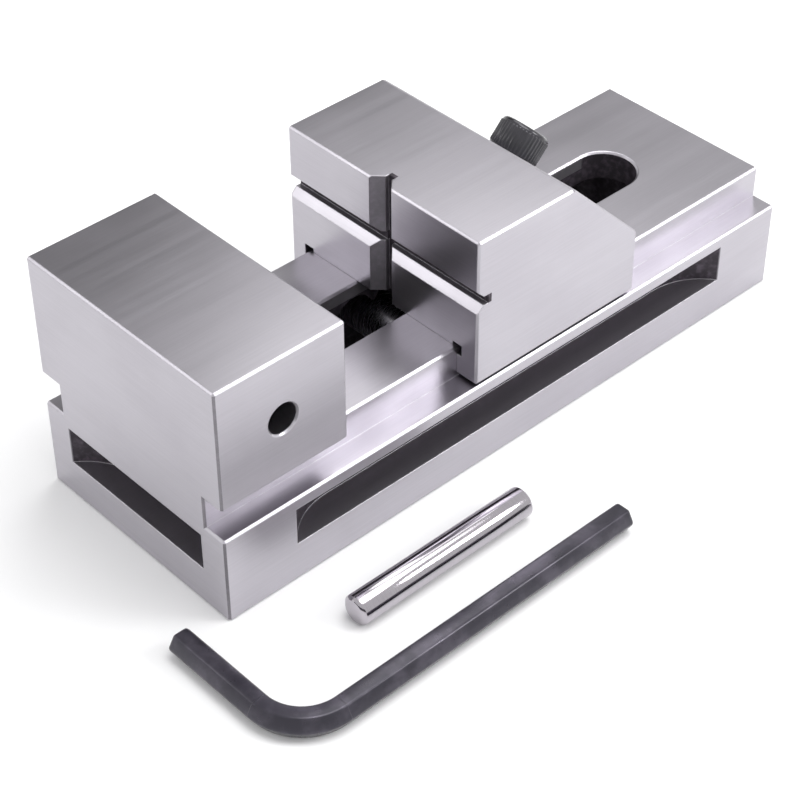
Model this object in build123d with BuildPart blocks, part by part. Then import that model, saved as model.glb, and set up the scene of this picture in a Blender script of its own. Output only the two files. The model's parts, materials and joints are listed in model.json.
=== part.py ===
"""Precision toolmaker's vise with its clamp screw mechanism, stop pin and hex key.

Millimetres, +Z up. X runs along the vise from the fixed jaw to the open end, and the
origin is the centre of the base at the level it stands on. The jaw is drawn part open,
with the clamp screw slackened and the pull bar lowered clear of its notches.
"""

import math
import os

from build123d import *

os.makedirs("parts", exist_ok=True)

# Body
WIDTH = 63.0
LENGTH = 178.0
HEIGHT = 64.0
LEDGE_Z = 23.6
RAIL_TOP = 32.0
LEDGE = 6.3
FIXED_JAW_LENGTH = 35.0
EDGE = 0.5
FACE_X = FIXED_JAW_LENGTH - LENGTH / 2

# Slot between the rails and the cavity under them
SLOT_WIDTH = 16.0
SLOT_LEFT = -52.0
SLOT_RIGHT = 68.0
CAVITY_LEFT = -62.0
CAVITY_RIGHT = 72.0
CAVITY_WIDTH = 36.0
CAVITY_CORNER = 5.0
LIP_UNDERSIDE = 24.2

# Clamp grooves milled into the sides and ends of the base
GROOVE_LOW = 10.4
GROOVE_HIGH = 20.5
GROOVE_DEPTH = 8.0
CUTTER_RADIUS = 18.0
SIDE_GROOVE_SPAN = 138.5
END_GROOVE_SPAN = 47.0

# Moving jaw
OPENING = 38.5
JAW_TOP_LENGTH = 29.7
JAW_FOOT_LENGTH = 52.2
SKIRT_Z = 24.4
SIDE_CLEARANCE = 0.05
SLIDE_CLEARANCE = 0.02
JAW_FRONT = FACE_X + OPENING
JAW_SHOULDER = JAW_FRONT + JAW_TOP_LENGTH
JAW_REAR = JAW_FRONT + JAW_FOOT_LENGTH
CORNER_RELIEF = 1.5
LEVEL_VEE_MOUTH = 6.2
LEVEL_RELIEF_WIDTH = 2.4
LEVEL_RELIEF_DEPTH = 3.3
LEVEL_VEE_HEIGHT = 47.6
UPRIGHT_VEE_MOUTH = 7.4
UPRIGHT_RELIEF_WIDTH = 2.1
UPRIGHT_RELIEF_DEPTH = 3.7

# Pull bar and its notches
BAR_DIAMETER = 12.0
BAR_LENGTH = 34.0
BAR_CHAMFER = 0.8
BAR_SPOT_DEPTH = 1.0
BAR_SPOT_DIAMETER = 13.0
SEAT_FROM_FRONT = 11.5
SEAT_Z = 22.0
SEAT_PITCH = 12.8
SEATS_CLOSING = 3
SEATS_OPENING = 4
NOTCH_CLEARANCE = 0.1
NOTCH_RUN = 9.0

# Clamp screw, M8 socket head, on a line at 45 degrees down towards the fixed jaw
SCREW_DIAMETER = 8.0
SCREW_LENGTH = 60.0
THREAD_PITCH = 1.25
BAR_TURNS = 5
HEAD_DIAMETER = 12.7
HEAD_HEIGHT = 7.6
HEAD_GAP = 0.05
SOCKET_FLATS = 6.0
SOCKET_DEPTH = 4.0
THREAD_CLEARANCE = 0.05
RING_GROOVE_AT = 57.4
RING_THICKNESS = 0.8
RING_DIAMETER = 11.0
RING_BORE = 6.4
RING_GAP = 5.2

# Seat washers in the counterbore of the jaw's sloping back
WASHER_DIAMETER = 17.0
WASHER_BORE = 8.4
WASHER_HEIGHT = 3.2
BALL_RADIUS = 12.0
CONE_ANGLE = 30.0
CONE_SEAT_BORE = 9.6
COUNTERBORE_DIAMETER = 17.2
COUNTERBORE_DEPTH = 5.6
SCREW_HOLE = 9.0
SPRING_POCKET = 13.0
SPRING_POCKET_AT = 20.0

# Bar spring
SPRING_WIRE = 1.2
SPRING_OUTSIDE = 12.0
SPRING_TURNS = 6.5
SPRING_GAP = 0.1

# Stop pin and the hole for it in the side of the fixed jaw
PIN_DIAMETER = 7.5
PIN_LENGTH = 52.0
PIN_CHAMFER = 1.0
PIN_LEFT = -70.0
PIN_Y = -50.2
PIN_HOLE_DIAMETER = 7.6
PIN_HOLE_DEPTH = 30.0
PIN_HOLE_X = -71.5
PIN_HOLE_Z = 47.6
PIN_HOLE_CHAMFER = 0.4

# Hex key
KEY_FLATS = 6.0
KEY_BEND = 12.0
KEY_LONG_END = -4.7
KEY_SHORT_END = -30.5
KEY_CORNER_X = -101.8
KEY_CORNER_Y = -68.7
KEY_CHAMFER = 0.6

# Where the screw's line leaves the jaw's sloping back, and the directions along it
seat_x = JAW_FRONT + SEAT_FROM_FRONT
slope_sum = JAW_SHOULDER + HEIGHT
line_difference = seat_x - SEAT_Z
screw_x = (slope_sum + line_difference) / 2
screw_z = (slope_sum - line_difference) / 2
bar_travel = BAR_TURNS * THREAD_PITCH
seat_distance = (screw_z - SEAT_Z) * math.sqrt(2)
bar_distance = seat_distance + bar_travel
screw_plane = Plane(origin=(screw_x, 0, screw_z), x_dir=(0, 1, 0), z_dir=(1, 0, 1))


def beside(value, target, within=0.01):
    """True where a coordinate lies on a target plane."""
    return abs(value - target) < within


def save(builder, label):
    """Label a finished piece and write it as one STEP file."""
    builder.part.label = label
    export_step(builder.part, f"parts/{label}.step")


def vee(mouth, relief_width, relief_depth):
    """Sketch a square standing on its corner, with a relief slot through the corner."""
    flank = mouth / math.sqrt(2)
    Rectangle(flank, flank, rotation=45)
    Rectangle(2 * relief_depth, relief_width)


def milled_groove(span, outside):
    """Sketch a groove left by a disc cutter that ran along a face at `outside`."""
    run_out = math.sqrt(CUTTER_RADIUS**2 - (CUTTER_RADIUS - GROOVE_DEPTH) ** 2)
    reach = outside + CUTTER_RADIUS - GROOVE_DEPTH
    for side in (-1, 1):
        with Locations((0, side * reach)):
            SlotCenterToCenter(span - 2 * run_out, 2 * CUTTER_RADIUS)


# Vise body: base, rails and fixed jaw in one ground block
with BuildPart() as vise_body:
    with BuildSketch(Plane.XY):
        Rectangle(LENGTH, WIDTH)
    extrude(amount=LEDGE_Z)
    with BuildSketch(Plane.XY.offset(LEDGE_Z)):
        Rectangle(LENGTH, WIDTH - 2 * LEDGE)
    extrude(amount=RAIL_TOP - LEDGE_Z)
    with BuildSketch(Plane.XY.offset(RAIL_TOP)):
        with Locations((-LENGTH / 2, 0)):
            Rectangle(FIXED_JAW_LENGTH, WIDTH, align=(Align.MIN, Align.CENTER))
    extrude(amount=HEIGHT - RAIL_TOP)

    rail_side = WIDTH / 2 - LEDGE
    inner_corners = ShapeList()
    for edge in vise_body.edges():
        middle = edge.center()
        under_rail = beside(abs(middle.Y), rail_side) and beside(middle.Z, LEDGE_Z)
        under_jaw = beside(abs(middle.Y), rail_side) and beside(middle.Z, RAIL_TOP)
        under_jaw = under_jaw and middle.X < FACE_X
        jaw_foot = beside(middle.X, FACE_X) and beside(middle.Z, RAIL_TOP)
        if under_rail or under_jaw or jaw_foot:
            inner_corners.append(edge)
    outer_edges = [edge for edge in vise_body.edges() if edge not in inner_corners]
    chamfer(outer_edges, EDGE)

    # Slot, with its upper edge broken
    with BuildSketch(Plane.XY.offset(LIP_UNDERSIDE)):
        with Locations(((SLOT_LEFT + SLOT_RIGHT) / 2, 0)):
            SlotOverall(SLOT_RIGHT - SLOT_LEFT, SLOT_WIDTH)
    extrude(amount=RAIL_TOP - LIP_UNDERSIDE, mode=Mode.SUBTRACT)
    slot_rim = vise_body.edges(Select.LAST).group_by(Axis.Z)[-1]
    chamfer(slot_rim, EDGE)

    # Cavity, open underneath
    with BuildSketch(Plane.XY):
        with Locations(((CAVITY_LEFT + CAVITY_RIGHT) / 2, 0)):
            RectangleRounded(CAVITY_RIGHT - CAVITY_LEFT, CAVITY_WIDTH, CAVITY_CORNER)
    extrude(amount=LIP_UNDERSIDE, mode=Mode.SUBTRACT)

    # Notches that the pull bar is drawn into, across both lips
    seats = [seat_x + SEAT_PITCH * n for n in range(-SEATS_CLOSING, SEATS_OPENING + 1)]
    run = NOTCH_RUN / 2 / math.sqrt(2)
    with BuildSketch(Plane.XZ):
        with Locations(*[(x - run, SEAT_Z - run) for x in seats]):
            SlotCenterToCenter(NOTCH_RUN, BAR_DIAMETER + 2 * NOTCH_CLEARANCE, rotation=45)
    extrude(amount=CAVITY_WIDTH / 2, both=True, mode=Mode.SUBTRACT)

    # Clamp grooves along both sides and across both ends
    with BuildSketch(Plane.XY.offset(GROOVE_LOW)):
        milled_groove(SIDE_GROOVE_SPAN, WIDTH / 2)
    extrude(amount=GROOVE_HIGH - GROOVE_LOW, mode=Mode.SUBTRACT)
    with BuildSketch(Plane((0, 0, GROOVE_LOW), x_dir=(0, 1, 0), z_dir=(0, 0, 1))):
        milled_groove(END_GROOVE_SPAN, LENGTH / 2)
    extrude(amount=GROOVE_HIGH - GROOVE_LOW, mode=Mode.SUBTRACT)

    # Hole for the stop pin
    pin_hole_mouth = (PIN_HOLE_X, -WIDTH / 2, PIN_HOLE_Z)
    with Locations(Plane(pin_hole_mouth, x_dir=(1, 0, 0), z_dir=(0, -1, 0))):
        Hole(PIN_HOLE_DIAMETER / 2, depth=PIN_HOLE_DEPTH)
    hole_rim = vise_body.edges(Select.LAST).sort_by(Axis.Y)[0]
    chamfer(hole_rim, PIN_HOLE_CHAMFER)
save(vise_body, "vise_body")


# Moving jaw: a block with a sloping back, straddling the rails
with BuildPart() as moving_jaw:
    with BuildSketch(Plane.XZ):
        with BuildLine():
            Polyline(
                (JAW_FRONT, SKIRT_Z),
                (JAW_FRONT, HEIGHT),
                (JAW_SHOULDER, HEIGHT),
                (JAW_REAR, HEIGHT - (JAW_REAR - JAW_SHOULDER)),
                (JAW_REAR, SKIRT_Z),
                close=True,
            )
        make_face()
    extrude(amount=WIDTH / 2, both=True)
    chamfer(moving_jaw.edges(), EDGE)

    # Channel for the rails, with a relief in each inner corner
    channel_side = WIDTH / 2 - LEDGE + SIDE_CLEARANCE
    underside = RAIL_TOP + SLIDE_CLEARANCE
    middle_x = (JAW_FRONT + JAW_REAR) / 2
    with BuildSketch(Plane.XY.offset(SKIRT_Z)):
        with Locations((middle_x, 0)):
            Rectangle(JAW_FOOT_LENGTH, 2 * channel_side)
    extrude(amount=underside - SKIRT_Z, mode=Mode.SUBTRACT)
    with BuildSketch(Plane.YZ.offset(JAW_FRONT)):
        with Locations((channel_side, underside - EDGE), (-channel_side, underside - EDGE)):
            Rectangle(2 * CORNER_RELIEF, 2 * CORNER_RELIEF)
    extrude(amount=JAW_FOOT_LENGTH, mode=Mode.SUBTRACT)

    # Level vee for round work, and its relief slot
    with BuildSketch(Plane.XZ):
        with Locations((JAW_FRONT, LEVEL_VEE_HEIGHT)):
            vee(LEVEL_VEE_MOUTH, LEVEL_RELIEF_WIDTH, LEVEL_RELIEF_DEPTH)
    extrude(amount=WIDTH / 2, both=True, mode=Mode.SUBTRACT)

    # Upright vee, and its relief slot
    with BuildSketch(Plane.XY.offset(RAIL_TOP)):
        with Locations((JAW_FRONT, 0)):
            vee(UPRIGHT_VEE_MOUTH, UPRIGHT_RELIEF_WIDTH, UPRIGHT_RELIEF_DEPTH)
    extrude(amount=HEIGHT - RAIL_TOP, mode=Mode.SUBTRACT)

    # Screw hole, counterbore for the seat washers and pocket for the spring
    with BuildSketch(screw_plane):
        Circle(SCREW_HOLE / 2)
    extrude(amount=-seat_distance, mode=Mode.SUBTRACT)
    with BuildSketch(screw_plane):
        Circle(COUNTERBORE_DIAMETER / 2)
    extrude(amount=-COUNTERBORE_DEPTH, mode=Mode.SUBTRACT)
    with BuildSketch(screw_plane.offset(-SPRING_POCKET_AT)):
        Circle(SPRING_POCKET / 2)
    extrude(amount=SPRING_POCKET_AT - seat_distance, mode=Mode.SUBTRACT)
save(moving_jaw, "moving_jaw")


# Clamp screw, with the groove for its retaining ring
with BuildPart() as clamp_screw:
    with BuildSketch(screw_plane.offset(HEAD_GAP)):
        Circle(HEAD_DIAMETER / 2)
    extrude(amount=HEAD_HEIGHT)
    chamfer(clamp_screw.edges().sort_by(Axis.Z)[-1], EDGE)
    with BuildSketch(screw_plane.offset(HEAD_GAP)):
        Circle(SCREW_DIAMETER / 2)
    extrude(amount=-SCREW_LENGTH)
    chamfer(clamp_screw.edges().sort_by(Axis.Z)[0], EDGE)
    with BuildSketch(screw_plane.offset(HEAD_GAP + HEAD_HEIGHT)):
        RegularPolygon(SOCKET_FLATS / 2, 6, major_radius=False)
    extrude(amount=-SOCKET_DEPTH, mode=Mode.SUBTRACT)
    with BuildSketch(screw_plane.offset(-RING_GROOVE_AT)):
        Circle(SCREW_DIAMETER)
        Circle(RING_BORE / 2, mode=Mode.SUBTRACT)
    extrude(amount=-RING_THICKNESS, mode=Mode.SUBTRACT)
save(clamp_screw, "clamp_screw")


# Retaining ring that keeps the pull bar on the screw
with BuildPart() as retaining_ring:
    with BuildSketch(screw_plane.offset(-RING_GROOVE_AT)):
        Circle(RING_DIAMETER / 2)
        Circle(RING_BORE / 2, mode=Mode.SUBTRACT)
        with Locations((RING_DIAMETER / 2, 0)):
            Rectangle(RING_DIAMETER, RING_GAP, mode=Mode.SUBTRACT)
    extrude(amount=-RING_THICKNESS)
save(retaining_ring, "retaining_ring")


# Spherical washer: flat under the screw head, part of a ball below
ball_drop = math.sqrt(BALL_RADIUS**2 - (WASHER_BORE / 2) ** 2) - WASHER_HEIGHT
with BuildPart() as spherical_washer:
    with BuildSketch(screw_plane):
        Circle(WASHER_DIAMETER / 2)
        Circle(WASHER_BORE / 2, mode=Mode.SUBTRACT)
    extrude(amount=-WASHER_HEIGHT)
    ball_plane = screw_plane.offset(ball_drop)
    with Locations(ball_plane):
        Sphere(BALL_RADIUS, mode=Mode.INTERSECT)
save(spherical_washer, "spherical_washer")


# Conical seat that the ball rests in
touch_radius = BALL_RADIUS * math.sin(math.radians(CONE_ANGLE))
touch_depth = BALL_RADIUS * math.cos(math.radians(CONE_ANGLE)) - ball_drop
cone_rise = math.tan(math.radians(CONE_ANGLE))
cone_rim = touch_depth - (WASHER_DIAMETER / 2 - touch_radius) * cone_rise
cone_foot = touch_depth + (touch_radius - CONE_SEAT_BORE / 2) * cone_rise
section_plane = Plane(screw_plane.origin, x_dir=(0, 1, 0), z_dir=(1, 0, -1))
with BuildPart() as conical_seat:
    with BuildSketch(section_plane):
        with BuildLine():
            Polyline(
                (CONE_SEAT_BORE / 2, -cone_foot),
                (WASHER_DIAMETER / 2, -cone_rim),
                (WASHER_DIAMETER / 2, -COUNTERBORE_DEPTH),
                (CONE_SEAT_BORE / 2, -COUNTERBORE_DEPTH),
                close=True,
            )
        make_face()
    revolve(axis=Axis(screw_plane.origin, screw_plane.z_dir))
save(conical_seat, "conical_seat")


# Pull bar: a round nut across the cavity, threaded on the screw
bar_plane = screw_plane.offset(-bar_distance)
with BuildPart() as pull_bar:
    with BuildSketch(Plane(bar_plane.origin, x_dir=(1, 0, 0), z_dir=(0, -1, 0))):
        Circle(BAR_DIAMETER / 2)
    extrude(amount=BAR_LENGTH / 2, both=True)
    chamfer(pull_bar.edges().filter_by(GeomType.CIRCLE), BAR_CHAMFER)
    with BuildSketch(bar_plane.offset(BAR_DIAMETER / 2 - BAR_SPOT_DEPTH)):
        Circle(BAR_SPOT_DIAMETER / 2)
    extrude(amount=BAR_SPOT_DEPTH, mode=Mode.SUBTRACT)
    with BuildSketch(bar_plane):
        Circle(SCREW_DIAMETER / 2 + THREAD_CLEARANCE)
    extrude(amount=BAR_DIAMETER, both=True, mode=Mode.SUBTRACT)
save(pull_bar, "pull_bar")


# Spring that pushes the bar out of its notch when the screw is slackened
spring_top = SPRING_POCKET_AT + SPRING_GAP + SPRING_WIRE / 2
spring_foot = bar_distance - BAR_DIAMETER / 2 + BAR_SPOT_DEPTH - SPRING_GAP - SPRING_WIRE / 2
spring_length = spring_foot - spring_top
spring_base = screw_plane.offset(-spring_foot)
with BuildPart() as bar_spring:
    with BuildLine() as coil:
        Helix(
            pitch=spring_length / SPRING_TURNS,
            height=spring_length,
            radius=(SPRING_OUTSIDE - SPRING_WIRE) / 2,
            center=spring_base.origin,
            direction=spring_base.z_dir,
        )
    with BuildSketch(Plane(coil.line @ 0, z_dir=coil.line % 0)):
        Circle(SPRING_WIRE / 2)
    sweep(is_frenet=True)
save(bar_spring, "bar_spring")


# Stop pin, lying beside the vise
with BuildPart() as stop_pin:
    with BuildSketch(Plane.YZ.offset(PIN_LEFT)):
        with Locations((PIN_Y, PIN_DIAMETER / 2)):
            Circle(PIN_DIAMETER / 2)
    extrude(amount=PIN_LENGTH)
    chamfer(stop_pin.edges().filter_by(GeomType.CIRCLE), PIN_CHAMFER)
save(stop_pin, "stop_pin")


# Hex key, lying on one of its flats
with BuildPart() as hex_key:
    with BuildLine(Plane.XY.offset(KEY_FLATS / 2)) as key_line:
        FilletPolyline(
            (KEY_LONG_END, KEY_CORNER_Y),
            (KEY_CORNER_X, KEY_CORNER_Y),
            (KEY_CORNER_X, KEY_SHORT_END),
            radius=KEY_BEND,
        )
    with BuildSketch(Plane(key_line.line @ 0, x_dir=(0, 1, 0), z_dir=(-1, 0, 0))):
        RegularPolygon(KEY_FLATS / 2, 6, major_radius=False)
    sweep()
    long_end = hex_key.faces().sort_by(Axis.X)[-1]
    short_end = hex_key.faces().sort_by(Axis.Y)[-1]
    chamfer(long_end.edges() + short_end.edges(), KEY_CHAMFER)
save(hex_key, "hex_key")
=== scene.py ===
"""Looks of a precision toolmaker's vise with its clamp screw, stop pin and hex key.

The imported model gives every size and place. The ground block and the jaw keep their
own meshes and get their finishes here; the screw, spring, pin and key are modelled
again in finer detail, inside the space of the nodes that they stand for.
"""

import json
import logging
import math
from dataclasses import dataclass, field
from enum import Enum
from typing import Callable, Optional, Sequence

import bmesh
import bpy
from mathutils import Euler, Matrix, Vector


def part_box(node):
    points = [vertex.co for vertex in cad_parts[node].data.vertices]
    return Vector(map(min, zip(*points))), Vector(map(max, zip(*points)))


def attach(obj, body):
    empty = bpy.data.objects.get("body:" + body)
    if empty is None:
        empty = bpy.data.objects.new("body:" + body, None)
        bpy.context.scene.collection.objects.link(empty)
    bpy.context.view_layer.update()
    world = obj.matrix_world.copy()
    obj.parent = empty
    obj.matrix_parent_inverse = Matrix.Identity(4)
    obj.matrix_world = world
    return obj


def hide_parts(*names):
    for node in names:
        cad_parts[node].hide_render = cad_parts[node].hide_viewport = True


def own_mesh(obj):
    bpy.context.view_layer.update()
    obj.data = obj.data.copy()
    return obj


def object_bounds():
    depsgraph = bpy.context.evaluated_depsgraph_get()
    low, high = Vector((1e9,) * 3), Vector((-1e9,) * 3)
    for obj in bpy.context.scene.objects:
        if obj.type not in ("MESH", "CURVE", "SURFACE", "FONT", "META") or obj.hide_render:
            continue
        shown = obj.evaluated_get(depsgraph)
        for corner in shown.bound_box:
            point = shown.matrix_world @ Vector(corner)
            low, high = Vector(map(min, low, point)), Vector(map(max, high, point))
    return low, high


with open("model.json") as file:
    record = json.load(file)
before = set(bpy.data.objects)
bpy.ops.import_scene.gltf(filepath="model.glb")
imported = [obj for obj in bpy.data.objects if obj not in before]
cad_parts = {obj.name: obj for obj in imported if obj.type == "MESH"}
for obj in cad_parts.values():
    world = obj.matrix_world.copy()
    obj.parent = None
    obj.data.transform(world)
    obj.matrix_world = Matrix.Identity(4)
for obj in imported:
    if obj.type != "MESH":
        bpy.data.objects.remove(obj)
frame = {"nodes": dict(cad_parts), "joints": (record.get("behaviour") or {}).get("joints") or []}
cad_box = [list(corner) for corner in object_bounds()]

log = logging.getLogger("vise")
MM = 0.001
Colour = tuple[float, float, float]
Profile = Callable[[float], float]


class Slot(Enum):
    """Material slots of the record."""

    GROUND = "ground_steel"
    BLACK = "black_oxide"
    POLISHED = "polished_steel"
    SPRING = "spring_steel"
    TURNED = "turned_steel"


class Body(Enum):
    """Bodies that the pieces ride on."""

    VISE = "vise"
    JAW = "jaw"
    SCREW = "screw"
    BAR = "bar"
    PIN = "pin"
    KEY = "key"


# ---------------------------------------------------------------- node helpers


class Graph:
    """A node tree with short calls for the nodes that the finishes use."""

    def __init__(self, tree: bpy.types.NodeTree) -> None:
        """Wrap a tree.

        Args:
            tree: The node tree to add to.
        """
        self.tree = tree

    def node(self, kind: str, **settings: object) -> bpy.types.Node:
        """Add a node.

        Args:
            kind: The node's type name, without "ShaderNode".
            **settings: Properties to set on it.

        Returns:
            The new node.
        """
        made = self.tree.nodes.new("ShaderNode" + kind)
        for name, value in settings.items():
            setattr(made, name, value)
        return made

    def put(self, socket: bpy.types.NodeSocket, value: object) -> None:
        """Link a socket to an output, or give it a plain value.

        Args:
            socket: The input socket.
            value: An output socket, a number, a vector or a colour.
        """
        if isinstance(value, bpy.types.NodeSocket):
            self.tree.links.new(value, socket)
        elif socket.type == "RGBA" and len(value) == 3:
            socket.default_value = (*value, 1.0)
        else:
            socket.default_value = value

    def math(self, operation: str, *values: object, clamp: bool = False) -> bpy.types.NodeSocket:
        """Add a Math node.

        Args:
            operation: Its operation.
            *values: Its inputs, in order.
            clamp: True to hold the result between 0 and 1.

        Returns:
            The result socket.
        """
        made = self.node("Math", operation=operation, use_clamp=clamp)
        for socket, value in zip(made.inputs, values):
            self.put(socket, value)
        return made.outputs[0]

    def vector(self, operation: str, *values: object) -> bpy.types.NodeSocket:
        """Add a Vector Math node.

        Args:
            operation: Its operation.
            *values: Its inputs, in order.

        Returns:
            The vector result, or the value for DOT_PRODUCT, DISTANCE and LENGTH.
        """
        made = self.node("VectorMath", operation=operation)
        sockets = [s for s in made.inputs if s.name != "Scale"]
        for socket, value in zip(sockets, values):
            self.put(socket, value)
        single = operation in ("DOT_PRODUCT", "DISTANCE", "LENGTH")
        return made.outputs["Value" if single else "Vector"]

    def noise(self, place: object, scale: float, detail: float = 2.0) -> bpy.types.NodeSocket:
        """Add a Noise Texture.

        Args:
            place: The vector that it reads.
            scale: Its scale.
            detail: Its octaves.

        Returns:
            The factor socket.
        """
        made = self.node("TexNoise")
        self.put(made.inputs["Vector"], place)
        made.inputs["Scale"].default_value = scale
        made.inputs["Detail"].default_value = detail
        return made.outputs["Fac"]

    def span(self, value: object, low: object, high: object, start: object = 0.0,
             end: object = 1.0) -> bpy.types.NodeSocket:
        """Add a clamped smooth Map Range node.

        Args:
            value: The value to map.
            low: The value that becomes start.
            high: The value that becomes end.
            start: The result at low.
            end: The result at high.

        Returns:
            The result socket.
        """
        made = self.node("MapRange", interpolation_type="SMOOTHSTEP")
        for name, given in (("Value", value), ("From Min", low), ("From Max", high),
                            ("To Min", start), ("To Max", end)):
            self.put(made.inputs[name], given)
        return made.outputs["Result"]

    def blend(self, share: object, first: object, second: object,
              mode: str = "MIX") -> bpy.types.NodeSocket:
        """Add a colour Mix node.

        Args:
            share: How much of the second colour, from 0 to 1.
            first: The first colour.
            second: The second colour.
            mode: The blend type.

        Returns:
            The colour socket.
        """
        made = self.node("Mix", data_type="RGBA", blend_type=mode)
        self.put(made.inputs["Factor"], share)
        colours = [s for s in made.inputs if s.type == "RGBA"]
        self.put(colours[0], first)
        self.put(colours[1], second)
        return next(s for s in made.outputs if s.type == "RGBA")

    def group(self, tree: bpy.types.NodeTree, **values: object) -> bpy.types.Node:
        """Place a node group.

        Args:
            tree: The group's tree.
            **values: Its inputs, with _ in place of the spaces in their names.

        Returns:
            The group node.
        """
        made = self.node("Group", node_tree=tree)
        for name, value in values.items():
            self.put(made.inputs[name.replace("_", " ")], value)
        return made


@dataclass(frozen=True)
class Port:
    """One socket of a node group."""

    name: str
    kind: str = "NodeSocketFloat"
    value: object = None


def new_group(name: str, inputs: Sequence[Port], outputs: Sequence[Port]) -> tuple[
        Graph, bpy.types.Node, bpy.types.Node]:
    """Start a shader node group with named sockets.

    Args:
        name: The group's name.
        inputs: Its input sockets.
        outputs: Its output sockets.

    Returns:
        The graph of the group, its input node and its output node.
    """
    tree = bpy.data.node_groups.new(name, "ShaderNodeTree")
    for ports, side in ((inputs, "INPUT"), (outputs, "OUTPUT")):
        for port in ports:
            made = tree.interface.new_socket(port.name, in_out=side, socket_type=port.kind)
            if port.value is not None:
                made.default_value = port.value
    graph = Graph(tree)
    return graph, tree.nodes.new("NodeGroupInput"), tree.nodes.new("NodeGroupOutput")


VECTOR = "NodeSocketVector"


class Effects:
    """Shader node groups that the finishes share, each built once."""

    def __init__(self) -> None:
        """Build the groups."""
        self.grinding = self._grinding()
        self.turning = self._turning()
        self.edge = self._edge()
        self.pocket = self._pocket()
        self.patina = self._patina()

    @staticmethod
    def _grinding() -> bpy.types.NodeTree:
        """Straight grinding lines: along X on most faces, along Y on the ends.

        Returns:
            The group: Lines and Bands, each from 0 to 1.
        """
        graph, inside, out = new_group(
            "grinding lines",
            [Port("Place", VECTOR), Port("Facing", VECTOR), Port("Fineness", value=3600.0)],
            [Port("Lines"), Port("Bands")])
        parts = graph.node("SeparateXYZ")
        graph.put(parts.inputs[0], inside.outputs["Facing"])
        on_end = graph.math("GREATER_THAN", graph.math("ABSOLUTE", parts.outputs["X"]), 0.6)
        results = []
        for stretch, offset in (((0.02, 1.0, 1.0), 0.0), ((1.0, 0.02, 1.0), 3.7)):
            place = graph.vector("MULTIPLY", inside.outputs["Place"], stretch)
            place = graph.vector("ADD", place, (offset, offset, offset))
            fine = graph.node("TexNoise")
            graph.put(fine.inputs["Vector"], place)
            graph.put(fine.inputs["Scale"], inside.outputs["Fineness"])
            fine.inputs["Detail"].default_value = 2.0
            broad = graph.noise(place, 420.0, 3.0)
            results.append((fine.outputs["Fac"], broad))
        for name, index in (("Lines", 0), ("Bands", 1)):
            mixed = graph.node("Mix", data_type="FLOAT")
            graph.put(mixed.inputs["Factor"], on_end)
            graph.put(mixed.inputs["A"], results[0][index])
            graph.put(mixed.inputs["B"], results[1][index])
            graph.put(out.inputs[name], mixed.outputs["Result"])
        return graph.tree

    @staticmethod
    def _turning() -> bpy.types.NodeTree:
        """Lines that run round an axis, as a lathe or a centreless grinder leaves them.

        Returns:
            The group: Lines, from 0 to 1.
        """
        graph, inside, out = new_group(
            "turning lines",
            [Port("Place", VECTOR), Port("Centre", VECTOR), Port("Axis", VECTOR),
             Port("Fineness", value=4000.0)],
            [Port("Lines")])
        arm = graph.vector("SUBTRACT", inside.outputs["Place"], inside.outputs["Centre"])
        along = graph.vector("DOT_PRODUCT", arm, inside.outputs["Axis"])
        away = graph.vector("LENGTH", graph.vector("CROSS_PRODUCT", arm, inside.outputs["Axis"]))
        joined = graph.node("CombineXYZ")
        graph.put(joined.inputs["X"], along)
        graph.put(joined.inputs["Y"], away)
        fine = graph.node("TexNoise")
        graph.put(fine.inputs["Vector"], joined.outputs[0])
        graph.put(fine.inputs["Scale"], inside.outputs["Fineness"])
        fine.inputs["Detail"].default_value = 2.0
        graph.put(out.inputs["Lines"], fine.outputs["Fac"])
        return graph.tree

    @staticmethod
    def _edge() -> bpy.types.NodeTree:
        """Where an outer edge is near, and the normal with that edge rounded. The ground steel uses
        the mask for a painted highlight, the black oxide for rubbed wear.

        Returns:
            The group: Edge from 0 to 1, and Normal.
        """
        graph, inside, out = new_group(
            "worn edge",
            [Port("Radius", value=0.0004), Port("Strength", value=2.0)],
            [Port("Edge"), Port("Normal", VECTOR)])
        round_off = graph.node("Bevel", samples=6)
        graph.put(round_off.inputs["Radius"], inside.outputs["Radius"])
        shape = graph.node("NewGeometry")
        match = graph.vector("DOT_PRODUCT", round_off.outputs[0], shape.outputs["Normal"])
        off = graph.math("SUBTRACT", 1.0, match)
        graph.put(out.inputs["Edge"],
                  graph.math("MULTIPLY", off, inside.outputs["Strength"], clamp=True))
        graph.put(out.inputs["Normal"], round_off.outputs[0])
        return graph.tree

    @staticmethod
    def _pocket() -> bpy.types.NodeTree:
        """A box that marks unground surface in a pocket, and also the reach of the painted shade on
        diagonal faces.

        Returns:
            The group: Inside, 1 within the box and 0 outside it.
        """
        graph, inside, out = new_group(
            "unground pocket",
            [Port("Place", VECTOR), Port("Centre", VECTOR), Port("Half", VECTOR),
             Port("Softness", value=0.0001)],
            [Port("Inside")])
        arm = graph.vector("ABSOLUTE", graph.vector(
            "SUBTRACT", inside.outputs["Place"], inside.outputs["Centre"]))
        room = graph.node("SeparateXYZ")
        graph.put(room.inputs[0], graph.vector("SUBTRACT", inside.outputs["Half"], arm))
        least = graph.math("MINIMUM", room.outputs["X"], room.outputs["Y"])
        least = graph.math("MINIMUM", least, room.outputs["Z"])
        graph.put(out.inputs["Inside"],
                  graph.span(least, 0.0, inside.outputs["Softness"]))
        return graph.tree

    @staticmethod
    def _patina() -> bpy.types.NodeTree:
        """Soft stains of handling on bare steel.

        Returns:
            The group: Stain, from 0 to 1.
        """
        graph, inside, out = new_group(
            "patina",
            [Port("Place", VECTOR), Port("Size", value=1.0)],
            [Port("Stain")])
        place = graph.node("VectorMath", operation="SCALE")
        graph.put(place.inputs[0], inside.outputs["Place"])
        graph.put(place.inputs["Scale"], inside.outputs["Size"])
        broad = graph.noise(place.outputs[0], 38.0, 4.0)
        graph.put(out.inputs["Stain"], graph.span(broad, 0.38, 0.66))
        return graph.tree


# -------------------------------------------------------------------- finishes


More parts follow.
